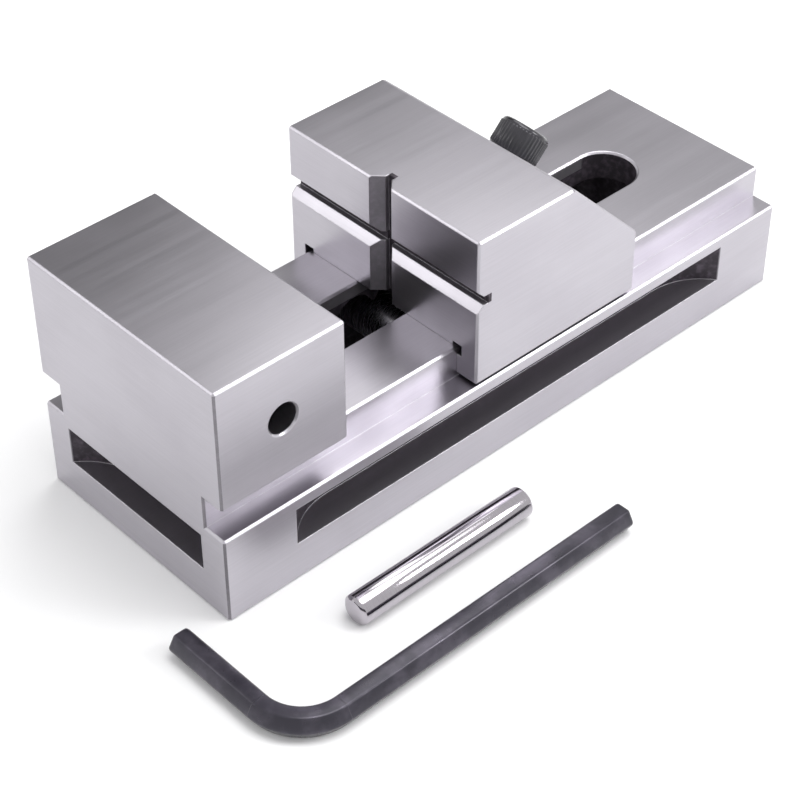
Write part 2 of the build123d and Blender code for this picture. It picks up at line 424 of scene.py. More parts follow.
@dataclass(frozen=True)
class Pocket:
    """A box on a ground piece, by its two corners in metres, that marks unground surface, and also
    the reach of the painted shade on diagonal faces.
    """

    low: Vector
    high: Vector


def start_material(name: str) -> tuple[Graph, bpy.types.Node, bpy.types.NodeSocket,
                                       bpy.types.NodeSocket]:
    """Start a material with a Principled shader.

    Args:
        name: The material's name.

    Returns:
        The graph, the shader, and the object coordinates and normal.
    """
    material = bpy.data.materials.new(name)
    material.use_nodes = True
    graph = Graph(material.node_tree)
    shader = material.node_tree.nodes["Principled BSDF"]
    where = graph.node("TexCoord")
    return graph, shader, where.outputs["Object"], where.outputs["Normal"]


def material_of(graph: Graph) -> bpy.types.Material:
    """Find the material that a graph belongs to.

    Args:
        graph: The graph of a material.

    Returns:
        The material.
    """
    return next(m for m in bpy.data.materials if m.node_tree == graph.tree)


@dataclass(frozen=True)
class GroundSteel:
    """Surface-ground hardened steel, with darker skin in its milled pockets and painted shade on
    its diagonal corner faces.
    """

    name: str = "ground steel"
    colour: Colour = (0.495, 0.477, 0.516)
    stained: Colour = (0.450, 0.431, 0.470)
    # Painted highlight colour that the outer edges are lightened towards.
    edge: Colour = (0.82, 0.81, 0.84)
    # Dark colour of the unground skin, also used as painted shade on the diagonal corner faces.
    skin_and_painted_shade: Colour = (0.040, 0.033, 0.042)
    roughness: float = 0.288
    line_height: float = 0.0000010
    stain_share: float = 0.55
    painted_edge_highlight_share: float = 0.7
    edge_radius: float = 0.35 * MM
    skin_roughness: float = 0.30
    skin_scale: float = 0.55
    skin_grain: float = 9.0
    # How dark the painted shade on the diagonal corner faces is, as a share of the skin colour.
    corner_painted_shade: float = 0.62
    pockets: tuple[Pocket, ...] = ()
    # Box within which faces turned diagonally between X and Y get painted shade.
    corner_box: Optional[Pocket] = None

    def build(self, effects: Effects) -> bpy.types.Material:
        """Build the material.

        Args:
            effects: The shared node groups.

        Returns:
            The material.
        """
        graph, shader, place, facing = start_material(self.name)
        lines = graph.group(effects.grinding, Place=place, Facing=facing)
        patina = graph.group(effects.patina, Place=place)
        edge = graph.group(effects.edge, Radius=self.edge_radius, Strength=1.6)
        skin_and_painted_shade = self._skin_and_painted_shade(graph, effects, place, facing)

        stain = patina.outputs["Stain"]
        colour = graph.blend(graph.math("MULTIPLY", stain, self.stain_share),
                             self.colour, self.stained)
        shade = graph.span(lines.outputs["Lines"], 0.25, 0.75, 0.97, 1.025)
        tint = graph.node("CombineColor")
        for socket in tint.inputs:
            graph.put(socket, shade)
        colour = graph.blend(1.0, colour, tint.outputs[0], mode="MULTIPLY")
        # Painted highlight: the outer edges are lightened, as though their chamfers caught the
        # light.
        colour = graph.blend(graph.math("MULTIPLY", edge.outputs["Edge"], self.painted_edge_highlight_share),
                             colour, self.edge)
        # Blend in the dark skin colour: real skin in the pockets, painted shade on the diagonal
        # corner faces.
        colour = graph.blend(skin_and_painted_shade, colour, self._skin_and_painted_shade_colour(graph, place))
        graph.put(shader.inputs["Base Color"], colour)

        rough = graph.span(lines.outputs["Bands"], 0.3, 0.7, self.roughness - 0.01,
                           self.roughness + 0.015)
        rough = graph.math("ADD", rough, graph.math("MULTIPLY", stain, 0.03))
        rough = graph.math("ADD", rough, graph.math("MULTIPLY", skin_and_painted_shade, self.skin_roughness),
                           clamp=True)
        graph.put(shader.inputs["Roughness"], rough)
        graph.put(shader.inputs["Metallic"], graph.math(
            "SUBTRACT", 1.0, graph.math("MULTIPLY", skin_and_painted_shade, self.skin_scale)))

        grain = graph.math("MULTIPLY", skin_and_painted_shade, self.skin_grain)
        height = graph.math("ADD", lines.outputs["Lines"], graph.math(
            "MULTIPLY", graph.noise(place, 2600.0, 3.0), grain))
        bump = graph.node("Bump")
        bump.inputs["Strength"].default_value = 1.0
        bump.inputs["Distance"].default_value = self.line_height
        graph.put(bump.inputs["Height"], height)
        graph.put(bump.inputs["Normal"], edge.outputs["Normal"])
        graph.put(shader.inputs["Normal"], bump.outputs[0])
        return material_of(graph)

    def _skin_and_painted_shade(self, graph: Graph, effects: Effects, place: bpy.types.NodeSocket,
              facing: bpy.types.NodeSocket) -> object:
        """Find where the surface keeps its unground skin, and where its diagonal corner faces get
        painted shade.

        Args:
            graph: The material's graph.
            effects: The shared node groups.
            place: The object coordinates.
            facing: The object normal.

        Returns:
            A mask, 1 on the skin, part way up on the diagonal faces that get painted shade, or
            plain 0 where there is none.
        """
        total: object = 0.0
        for pocket in self.pockets:
            total = graph.math("MAXIMUM", total, self._inside(graph, effects, place, pocket))
        # Painted shade: faces turned diagonally between X and Y, such as vertical corner chamfers
        # and the upright vee's flanks, take the dark skin colour in place of the dark reflection
        # they show.
        if self.corner_box is not None:
            parts = graph.node("SeparateXYZ")
            graph.put(parts.inputs[0], facing)
            sideways = graph.math("MULTIPLY", parts.outputs["X"], parts.outputs["Y"])
            corner = graph.span(graph.math("ABSOLUTE", sideways), 0.35, 0.45)
            corner = graph.math("MULTIPLY", corner, self._inside(
                graph, effects, place, self.corner_box))
            total = graph.math("MAXIMUM", total, graph.math(
                "MULTIPLY", corner, self.corner_painted_shade))
        return total

    @staticmethod
    def _inside(graph: Graph, effects: Effects, place: bpy.types.NodeSocket,
                pocket: Pocket) -> bpy.types.NodeSocket:
        """Find what lies inside one box.

        Args:
            graph: The material's graph.
            effects: The shared node groups.
            place: The object coordinates.
            pocket: The box.

        Returns:
            A mask, 1 inside the box.
        """
        centre = (pocket.low + pocket.high) / 2
        half = (pocket.high - pocket.low) / 2
        found = graph.group(effects.pocket, Place=place, Centre=centre, Half=half)
        return found.outputs["Inside"]

    def _skin_and_painted_shade_colour(self, graph: Graph, place: bpy.types.NodeSocket) -> bpy.types.NodeSocket:
        """Mottle the dark colour of the unground skin and of the painted shade on the diagonal
        corner faces.

        Args:
            graph: The material's graph.
            place: The object coordinates.

        Returns:
            The colour.
        """
        lighter = tuple(2.4 * part for part in self.skin_and_painted_shade)
        return graph.blend(graph.span(graph.noise(place, 700.0, 4.0), 0.4, 0.75),
                           self.skin_and_painted_shade, lighter)


@dataclass(frozen=True)
class BlackOxide:
    """Black oxide over drawn steel: blue-black, slightly patchy, rubbed at the edges."""

    name: str = "black oxide"
    colour: Colour = (0.028, 0.025, 0.037)
    faded: Colour = (0.062, 0.055, 0.075)
    bare: Colour = (0.18, 0.17, 0.19)
    roughness: float = 0.34
    oil: float = 0.5
    oil_roughness: float = 0.22

    def build(self, effects: Effects) -> bpy.types.Material:
        """Build the material.

        Args:
            effects: The shared node groups.

        Returns:
            The material.
        """
        graph, shader, place, _ = start_material(self.name)
        patina = graph.group(effects.patina, Place=place, Size=4.0)
        edge = graph.group(effects.edge, Radius=0.0003, Strength=1.3)
        colour = graph.blend(patina.outputs["Stain"], self.colour, self.faded)
        rubbed = graph.math("MULTIPLY", edge.outputs["Edge"], graph.span(
            graph.noise(place, 1500.0, 3.0), 0.35, 0.6))
        colour = graph.blend(graph.math("MULTIPLY", rubbed, 0.5), colour, self.bare)
        graph.put(shader.inputs["Base Color"], colour)
        graph.put(shader.inputs["Metallic"], graph.math("ADD", 0.72, graph.math(
            "MULTIPLY", rubbed, 0.28), clamp=True))
        shader.inputs["Coat Weight"].default_value = self.oil
        shader.inputs["Coat Roughness"].default_value = self.oil_roughness
        graph.put(shader.inputs["Roughness"], graph.span(
            graph.noise(place, 420.0, 3.0), 0.3, 0.7, self.roughness - 0.07,
            self.roughness + 0.09))
        bump = graph.node("Bump")
        bump.inputs["Distance"].default_value = 0.00001
        graph.put(bump.inputs["Height"], graph.noise(place, 3200.0, 3.0))
        graph.put(bump.inputs["Normal"], edge.outputs["Normal"])
        graph.put(shader.inputs["Normal"], bump.outputs[0])
        return material_of(graph)


@dataclass(frozen=True)
class RoundSteel:
    """Bare steel finished round an axis: turned, or centreless ground and polished."""

    name: str
    colour: Colour
    centre: Vector
    axis: Vector
    roughness: float = 0.12
    fineness: float = 4000.0
    line_height: float = 0.000001

    def build(self, effects: Effects) -> bpy.types.Material:
        """Build the material.

        Args:
            effects: The shared node groups.

        Returns:
            The material.
        """
        graph, shader, place, _ = start_material(self.name)
        lines = graph.group(effects.turning, Place=place, Centre=self.centre,
                            Axis=self.axis, Fineness=self.fineness)
        patina = graph.group(effects.patina, Place=place, Size=2.0)
        darker = tuple(0.82 * part for part in self.colour)
        share = graph.math("MULTIPLY", patina.outputs["Stain"], 0.4)
        share = graph.math("ADD", share, graph.math(
            "MULTIPLY", graph.span(lines.outputs["Lines"], 0.3, 0.7), 0.35), clamp=True)
        graph.put(shader.inputs["Base Color"], graph.blend(share, self.colour, darker))
        graph.put(shader.inputs["Roughness"], graph.span(
            lines.outputs["Lines"], 0.3, 0.7, self.roughness - 0.03, self.roughness + 0.06))
        shader.inputs["Metallic"].default_value = 1.0
        bump = graph.node("Bump")
        bump.inputs["Distance"].default_value = self.line_height
        graph.put(bump.inputs["Height"], lines.outputs["Lines"])
        graph.put(shader.inputs["Normal"], bump.outputs[0])
        return material_of(graph)


@dataclass(frozen=True)
class PaleFloor:
    """Matt white table top, very slightly uneven in tone."""

    name: str = "pale floor"
    colour: Colour = (0.93, 0.93, 0.935)
    shade: Colour = (0.90, 0.90, 0.905)

    def build(self) -> bpy.types.Material:
        """Build the material.

        Returns:
            The material.
        """
        graph, shader, place, _ = start_material(self.name)
        graph.put(shader.inputs["Base Color"], graph.blend(
            graph.noise(place, 9.0, 3.0), self.colour, self.shade))
        graph.put(shader.inputs["Roughness"], graph.span(
            graph.noise(place, 60.0, 2.0), 0.3, 0.7, 0.82, 0.9))
        return material_of(graph)


# ---------------------------------------------------------------- mesh helpers


def finish_mesh(bm: bmesh.types.BMesh, name: str, place: Optional[Matrix] = None,
                smooth: float = 32.0) -> bpy.types.Object:
    """Turn a bmesh into a linked object at the origin, closed and facing outwards.

    Args:
        bm: The mesh, which is freed.
        name: The object's name.
        place: Where the mesh goes, applied to its points.
        smooth: Edges flatter than this many degrees are shaded smooth.

    Returns:
        The object.
    """
    bmesh.ops.remove_doubles(bm, verts=bm.verts, dist=1e-7)
    if place is not None:
        bmesh.ops.transform(bm, matrix=place, verts=bm.verts)
    bmesh.ops.recalc_face_normals(bm, faces=bm.faces)
    mesh = bpy.data.meshes.new(name)
    bm.to_mesh(mesh)
    bm.free()
    mesh.shade_smooth()
    mesh.set_sharp_from_angle(angle=math.radians(smooth))
    made = bpy.data.objects.new(name, mesh)
    bpy.context.scene.collection.objects.link(made)
    return made


def new_verts(result: dict) -> list[bmesh.types.BMVert]:
    """Pick the points out of a bmesh operator's result."""
    return [item for item in result["geom"] if isinstance(item, bmesh.types.BMVert)]


def new_edges(result: dict) -> list[bmesh.types.BMEdge]:
    """Pick the edges out of a bmesh operator's result."""
    return [item for item in result["geom"] if isinstance(item, bmesh.types.BMEdge)]


def new_faces(result: dict) -> list[bmesh.types.BMFace]:
    """Pick the faces out of a bmesh operator's result."""
    return [item for item in result["geom"] if isinstance(item, bmesh.types.BMFace)]


class Lathe:
    """A closed shape built ring by ring up its Z axis."""

    def __init__(self, bm: bmesh.types.BMesh, segments: int, radius: float,
                 height: float) -> None:
        """Start with a closed disc.

        Args:
            bm: The mesh to build in.
            segments: Points round the ring.
            radius: The first ring's radius.
            height: Its height.
        """
        self.bm = bm
        made = bmesh.ops.create_circle(bm, cap_ends=True, radius=radius, segments=segments,
                                       matrix=Matrix.Translation((0, 0, height)))
        rim = set(made["verts"])
        self.ring = [e for e in bm.edges if set(e.verts) <= rim]

    def rise(self, radius: float | Profile, height: float) -> "Lathe":
        """Extrude the open ring to a new radius and height.

        Args:
            radius: The radius, or a function that gives it from the angle.
            height: The new height.

        Returns:
            The lathe, so that calls can be chained.
        """
        made = bmesh.ops.extrude_edge_only(self.bm, edges=self.ring)
        for vert in new_verts(made):
            angle = math.atan2(vert.co.y, vert.co.x)
            reach = radius(angle) if callable(radius) else radius
            vert.co = Vector((reach * math.cos(angle), reach * math.sin(angle), height))
        self.ring = new_edges(made)
        rim = set(new_verts(made))
        self.ring = [e for e in self.ring if set(e.verts) <= rim]
        return self

    def close(self, height: Optional[float] = None) -> None:
        """Close the open ring, with a flat face or with a point on the axis.

        Args:
            height: The point's height, or None for a flat face.
        """
        if height is None:
            bmesh.ops.contextual_create(self.bm, geom=self.ring)
            return
        made = bmesh.ops.extrude_edge_only(self.bm, edges=self.ring)
        bmesh.ops.pointmerge(self.bm, verts=new_verts(made), merge_co=(0, 0, height))


def helix(bm: bmesh.types.BMesh, face: bmesh.types.BMFace, turns: float, rise: float,
          steps_a_turn: int) -> bmesh.types.BMFace:
    """Sweep a face round the Z axis along a helix.

    Args:
        bm: The mesh.
        face: The face at the sweep's leading end.
        turns: Turns to make.
        rise: Height gained in a turn.
        steps_a_turn: Steps in a turn.

    Returns:
        The face at the new end.
    """
    steps = max(1, round(turns * steps_a_turn))
    made = bmesh.ops.spin(bm, geom=[face], angle=math.tau * turns, steps=steps,
                          axis=(0, 0, 1), cent=(0, 0, 0), dvec=(0, 0, rise * turns / steps))
    return next(g for g in made["geom_last"] if isinstance(g, bmesh.types.BMFace))


def section(bm: bmesh.types.BMesh, segments: int, radius: float,
            centre: Vector) -> bmesh.types.BMFace:
    """Make a small round face standing in the XZ plane.

    Args:
        bm: The mesh.
        segments: Points round it.
        radius: Its radius.
        centre: Its centre.

    Returns:
        The face.
    """
    upright = Matrix.Translation(centre) @ Matrix.Rotation(math.pi / 2, 4, "X")
    made = bmesh.ops.create_circle(bm, cap_ends=True, radius=radius, segments=segments,
                                   matrix=upright)
    return made["verts"][0].link_faces[0]


def dress(piece: bpy.types.Object, material: bpy.types.Material) -> None:
    """Give a piece its material.

    Args:
        piece: The piece.
        material: Its material.
    """
    piece.data.materials.clear()
    piece.data.materials.append(material)


def dress_node(node: str, material: bpy.types.Material) -> None:
    """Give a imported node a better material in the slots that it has.

    Args:
        node: The node's name.
        material: The material.
    """
    mesh = frame["nodes"][node].data
    if not mesh.materials:
        mesh.materials.append(material)
    for index in range(len(mesh.materials)):
        mesh.materials[index] = material


def joint(name: str) -> dict:
    """Find a joint of the record by name."""
    return next(j for j in frame["joints"] if j["name"] == name)


# --------------------------------------------------------------- sub-assemblies


@dataclass
class ScrewLine:
    """The slanted line that the clamp screw, washers, spring and bar share."""

    head: Vector = field(default_factory=lambda: Vector(joint("screw_turn")["pos_m"]))
    down: Vector = field(default_factory=lambda: Vector(joint("screw_turn")["axis"]).normalized())

    def matrix(self) -> Matrix:
        """Place a shape whose Z axis points out of the head's socket.

        Returns:
            The transform from the shape's own axes to the frame.
        """
        out = -self.down
        across = Vector((0, 1, 0))
        last = out.cross(across)
        turn = Matrix((across, last, out)).transposed().to_4x4()
        return Matrix.Translation(self.head) @ turn


@dataclass
class ViseBody:
    """The one-piece ground block: base, rails and fixed jaw."""

    groove_low: float = 10.4 * MM
    groove_high: float = 20.5 * MM
    groove_depth: float = 8.0 * MM
    side_span: float = 138.5 * MM
    end_span: float = 47.0 * MM
    cavity_half: float = 18.2 * MM
    slot_half: float = 8.0 * MM
    slot_start: float = -54.0 * MM
    slot_foot: float = 20.0 * MM
    cavity_foot: float = 0.3 * MM
    cavity_top: float = 28.4 * MM
    end_wall: float = 16.0 * MM
    edge: float = 0.5 * MM
    rail_top: float = 32.0 * MM
    rim: float = 0.15 * MM
    hair: float = 0.05 * MM

    def pockets(self) -> tuple[Pocket, ...]:
        """List the milled places that were never ground.

        Returns:
            Their boxes.
        """
        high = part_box("vise_body")[1]
        reach = self.groove_depth + MM
        boxes = []
        for side in (-1, 1):
            near, far = sorted((side * (high.y - self.rim), side * (high.y - reach)))
            boxes.append(Pocket(Vector((-self.side_span / 2, near, self.groove_low)) - self._grow(),
                                Vector((self.side_span / 2, far, self.groove_high)) + self._grow()))
            near, far = sorted((side * (high.x - self.rim), side * (high.x - reach)))
            boxes.append(Pocket(Vector((near, -self.end_span / 2, self.groove_low)) - self._grow(),
                                Vector((far, self.end_span / 2, self.groove_high)) + self._grow()))
        inner = high.x - self.end_wall
        boxes.append(Pocket(Vector((-inner, -self.cavity_half, self.cavity_foot)),
                            Vector((inner, self.cavity_half, self.cavity_top))))
        wide = self.slot_half + self.hair
        boxes.append(Pocket(Vector((self.slot_start, -wide, self.slot_foot)),
                            Vector((inner, wide, self.rail_top - self.edge))))
        return tuple(boxes)

    @staticmethod
    def _grow() -> Vector:
        """Give a hair of room, so that a pocket's own walls are inside its box."""
        return Vector((0.02 * MM, 0.0, 0.02 * MM))

    def build(self, effects: Effects) -> None:
        """Dress the block.

        Args:
            effects: The shared node groups.
        """
        low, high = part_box("vise_body")
        room = Vector((MM, MM, MM))
        # The corner box spans the whole block, so every vertical corner chamfer gets painted shade.
        finish = GroundSteel(name="ground block", pockets=self.pockets(),
                             corner_box=Pocket(low - room, high + room))
        dress_node("vise_body", finish.build(effects))
        log.info("vise_body dressed")


@dataclass
class MovingJaw:
    """The sloping-backed jaw and the two seat washers let into it."""

    level_at: float = 47.6 * MM
    level_flank: float = 1.9 * MM
    level_half: float = 1.2 * MM
    level_depth: float = 3.3 * MM
    upright_mouth: float = 7.4 * MM
    upright_flank: float = 2.65 * MM
    upright_half: float = 1.05 * MM
    upright_depth: float = 3.7 * MM
    hair: float = 0.03 * MM

    def build(self, effects: Effects, line: ScrewLine) -> None:
        """Dress the jaw and its washers.

        Args:
            effects: The shared node groups.
            line: The screw's line.
        """
        low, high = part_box("moving_jaw")
        half = self.level_half + self.hair
        level = Pocket(Vector((low.x + self.level_flank, low.y - MM, self.level_at - half)),
                       Vector((low.x + self.level_depth + MM, high.y + MM, self.level_at + half)))
        half = self.upright_half + self.hair
        upright = Pocket(Vector((low.x + self.upright_flank, -half, low.z)),
                         Vector((low.x + self.upright_depth + MM, half, high.z + MM)))
        # The flanks box takes in the upright vee, so its diagonal flanks get painted shade.
        flanks = Pocket(Vector((low.x - MM, -self.upright_mouth / 2 - MM, low.z)),
                        Vector((upright.high.x, self.upright_mouth / 2 + MM, high.z + MM)))
        finish = GroundSteel(name="ground jaw", pockets=(level, upright), corner_box=flanks)
        dress_node("moving_jaw", finish.build(effects))
        washer = RoundSteel("turned washer", (0.44, 0.43, 0.46), line.head, line.down,
                            roughness=0.24, fineness=2600.0, line_height=0.000004)
        material = washer.build(effects)
        dress_node("spherical_washer", material)
        dress_node("conical_seat", material)
        log.info("moving_jaw, spherical_washer and conical_seat dressed")


@dataclass
class ClampScrew:
    """Socket head cap screw, with its knurled head, thread and retaining ring."""

    head_radius: float = 6.35 * MM
    head_height: float = 7.6 * MM
    head_gap: float = 0.05 * MM
    knurl_depth: float = 0.22 * MM
    knurl_teeth: int = 42
    points_a_tooth: int = 4
    knurl_foot: float = 0.7 * MM
    knurl_top: float = 6.3 * MM
    top_bevel: float = 0.8 * MM
    socket_flats: float = 6.0 * MM
    socket_depth: float = 4.0 * MM
    socket_lead: float = 0.25 * MM
    shank_radius: float = 4.0 * MM
    core_radius: float = 3.32 * MM
    length: float = 59.95 * MM
    thread_length: float = 27.0 * MM
    pitch: float = 1.25 * MM
    ring_at: float = 57.4 * MM
    ring_width: float = 0.8 * MM
    ring_groove: float = 3.2 * MM

    def _head(self, bm: bmesh.types.BMesh) -> None:
        """Build the head, with its knurl and socket.

        Args:
            bm: The mesh.
        """
        teeth = self.knurl_teeth
        apothem = self.socket_flats / 2

        def knurl(angle: float) -> float:
            """Radius of the knurled wall at an angle."""
            wave = 0.5 + 0.5 * math.cos(teeth * angle)
            return self.head_radius - self.knurl_depth * (1 - wave)

        def hexagon(angle: float) -> float:
            """Distance from the axis to the socket's wall at an angle."""
            turn = (angle + math.pi / 6) % (math.pi / 3) - math.pi / 6
            return apothem / math.cos(turn)

        base, top = self.head_gap, self.head_gap + self.head_height
        inner = self.head_radius - self.knurl_depth
        head = Lathe(bm, teeth * self.points_a_tooth, inner - 0.3 * MM, base)
        head.rise(inner, base + 0.3 * MM).rise(inner, base + self.knurl_foot)
        head.rise(knurl, base + self.knurl_foot + 0.2 * MM)
        head.rise(knurl, base + self.knurl_top).rise(inner, base + self.knurl_top + 0.2 * MM)
        head.rise(inner, top - self.top_bevel).rise(inner - 0.25 * MM, top - 0.35 * MM)
        head.rise(inner - 0.65 * MM, top - 0.08 * MM).rise(inner - 0.95 * MM, top)
        head.rise(apothem + 0.9 * MM, top)
        head.rise(lambda a: hexagon(a) + self.socket_lead, top)
        head.rise(hexagon, top - self.socket_lead)
        head.rise(hexagon, top - self.socket_depth + 0.9 * MM)
        head.rise(apothem * 0.98, top - self.socket_depth + 0.7 * MM)
        head.close(top - self.socket_depth)

    def _shank(self, bm: bmesh.types.BMesh) -> None:
        """Build the shank and its thread.

        Args:
            bm: The mesh.
        """
        foot = -self.length
        smooth_end = foot + self.thread_length
        groove = -self.ring_at
        shank = Lathe(bm, 48, self.core_radius - 0.7 * MM, foot)
        shank.rise(self.core_radius, foot + 0.7 * MM)
        shank.rise(self.core_radius, groove - self.ring_width)
        shank.rise(self.ring_groove, groove - self.ring_width).rise(self.ring_groove, groove)
        shank.rise(self.core_radius, groove)
        shank.rise(self.core_radius, smooth_end)
        shank.rise(self.shank_radius, smooth_end + 0.5 * MM)
        shank.rise(self.shank_radius, self.head_gap + 0.4 * MM)
        shank.close()
        self._thread(bm, groove + 0.35 * MM, smooth_end + 0.3 * MM)

    def _thread(self, bm: bmesh.types.BMesh, start: float, end: float) -> None:
        """Wind the thread's ridge round the core.

        Args:
            bm: The mesh.
            start: Where its middle starts, on Z.
            end: Where its middle ends.
        """
        root, crest = self.core_radius - 0.08 * MM, self.shank_radius - 0.02 * MM
        half_root, half_crest = 0.44 * self.pitch, 0.07 * self.pitch
        outline = [(root, -half_root), (crest, -half_crest), (crest, half_crest),
                   (root, half_root)]
        corners = [bm.verts.new((x, 0, start + z)) for x, z in outline]
        helix(bm, bm.faces.new(corners), (end - start) / self.pitch, self.pitch, 32)

    def build(self, effects: Effects, line: ScrewLine) -> None:
        """Model the screw and dress it and its ring.

        Args:
            effects: The shared node groups.
            line: The screw's line.
        """
        bm = bmesh.new()
        self._head(bm)
        self._shank(bm)
        screw = finish_mesh(bm, "cap_screw", line.matrix())
        finish = BlackOxide(name="black screw", colour=(0.012, 0.0115, 0.016),
                            faded=(0.028, 0.026, 0.034), oil=0.9, oil_roughness=0.15)
        dress(screw, finish.build(effects))
        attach(screw, Body.SCREW.value)
        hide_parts("clamp_screw")
        ring = RoundSteel("ring steel", (0.25, 0.245, 0.27), line.head, line.down,
                          roughness=0.32, fineness=1800.0)
        dress_node("retaining_ring", ring.build(effects))
        log.info("cap_screw built, %d faces", len(screw.data.polygons))


@dataclass
class PullBar:
    """The round nut that the screw draws into the notches."""

    colour: Colour = (0.40, 0.39, 0.42)

    def build(self, effects: Effects) -> None:
        """Dress the bar.

        Args:
            effects: The shared node groups.
        """
        low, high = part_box("pull_bar")
        finish = RoundSteel("turned bar", self.colour, (low + high) / 2, Vector((0, 1, 0)),
                            roughness=0.26, fineness=2400.0, line_height=0.000004)
        dress_node("pull_bar", finish.build(effects))
        log.info("pull_bar dressed")


@dataclass
class BarSpring:
    """Compression spring round the screw, with closed and ground ends."""

    top: float = 20.1 * MM
    foot: float = 43.58 * MM
    shut_foot: float = 37.33 * MM
    wire: float = 1.2 * MM
    outside: float = 12.0 * MM
    active_turns: float = 5.0
    end_turns: float = 0.8
    ground_off: float = 0.4 * MM

    def build(self, effects: Effects, line: ScrewLine) -> None:
        """Wind the spring and attach it to the jaw.

        Args:
            effects: The shared node groups.
            line: The screw's line.
        """
        bm = bmesh.new()
        start = -self.foot + self.wire / 2 - self.ground_off
        end = -self.top - self.wire / 2 + self.ground_off
        middle = Vector(((self.outside - self.wire) / 2, 0, start))
        closed = self.wire * 1.04
        opened = (end - start - 2 * self.end_turns * closed) / self.active_turns
        tip = section(bm, 12, self.wire / 2, middle)
        for turns, rise in ((self.end_turns, closed), (self.active_turns, opened),
                            (self.end_turns, closed)):
            tip = helix(bm, tip, turns, rise, 40)
        for height, up in ((-self.foot, -1), (-self.top, 1)):
            cut = bmesh.ops.bisect_plane(bm, geom=[*bm.verts, *bm.edges, *bm.faces],
                                         plane_co=(0, 0, height), plane_no=(0, 0, up),
                                         clear_outer=True)
            edges = [g for g in cut["geom_cut"] if isinstance(g, bmesh.types.BMEdge)]
            bmesh.ops.holes_fill(bm, edges=edges, sides=0)
        spring = finish_mesh(bm, "coil_spring", line.matrix())
        finish = RoundSteel("spring wire", (0.07, 0.068, 0.078), line.head, line.down,
                            roughness=0.28, fineness=1200.0)
        dress(spring, finish.build(effects))
        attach(spring, Body.JAW.value)
        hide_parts("bar_spring")
        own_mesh(spring)
        log.info("coil_spring built, %d faces", len(spring.data.polygons))


@dataclass
class StopPin:
    """The bright pin that lies beside the vise."""

    chamfer: float = 1.0 * MM
    dome: float = 0.25 * MM
    segments: int = 72

    def build(self, effects: Effects) -> None:
        """Turn the pin and dress it.

        Args:
            effects: The shared node groups.
        """
        low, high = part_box("stop_pin")
        radius = (high.z - low.z) / 2
        length = high.x - low.x
        bm = bmesh.new()
        pin = Lathe(bm, self.segments, radius * 0.4, self.dome * 0.3)
        pin.rise(radius - self.chamfer, self.dome)
        pin.rise(radius - self.chamfer * 0.86, self.dome + 0.03 * MM)
        pin.rise(radius - 0.1 * MM, self.chamfer * 0.9).rise(radius, self.chamfer * 1.2)
        for share in (0.25, 0.5, 0.75):
            pin.rise(radius, length * share)
        pin.rise(radius, length - self.chamfer * 1.2)
        pin.rise(radius - 0.1 * MM, length - self.chamfer * 0.9)
        pin.rise(radius - self.chamfer * 0.86, length - self.dome - 0.03 * MM)
        pin.rise(radius - self.chamfer, length - self.dome)
        pin.rise(radius * 0.4, length - self.dome * 0.3).close()
        middle = (low + high) / 2
        start = Vector((low.x, middle.y, middle.z))
        place = Matrix.Translation(start) @ Matrix.Rotation(math.pi / 2, 4, "Y")
        piece = finish_mesh(bm, "bright_pin", place)
        finish = RoundSteel("polished pin", (0.47, 0.445, 0.48), middle, Vector((1, 0, 0)),
                            roughness=0.09, fineness=5200.0, line_height=0.0000004)
        dress(piece, finish.build(effects))
        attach(piece, Body.PIN.value)
        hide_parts("stop_pin")
        log.info("bright_pin built, %d faces", len(piece.data.polygons))


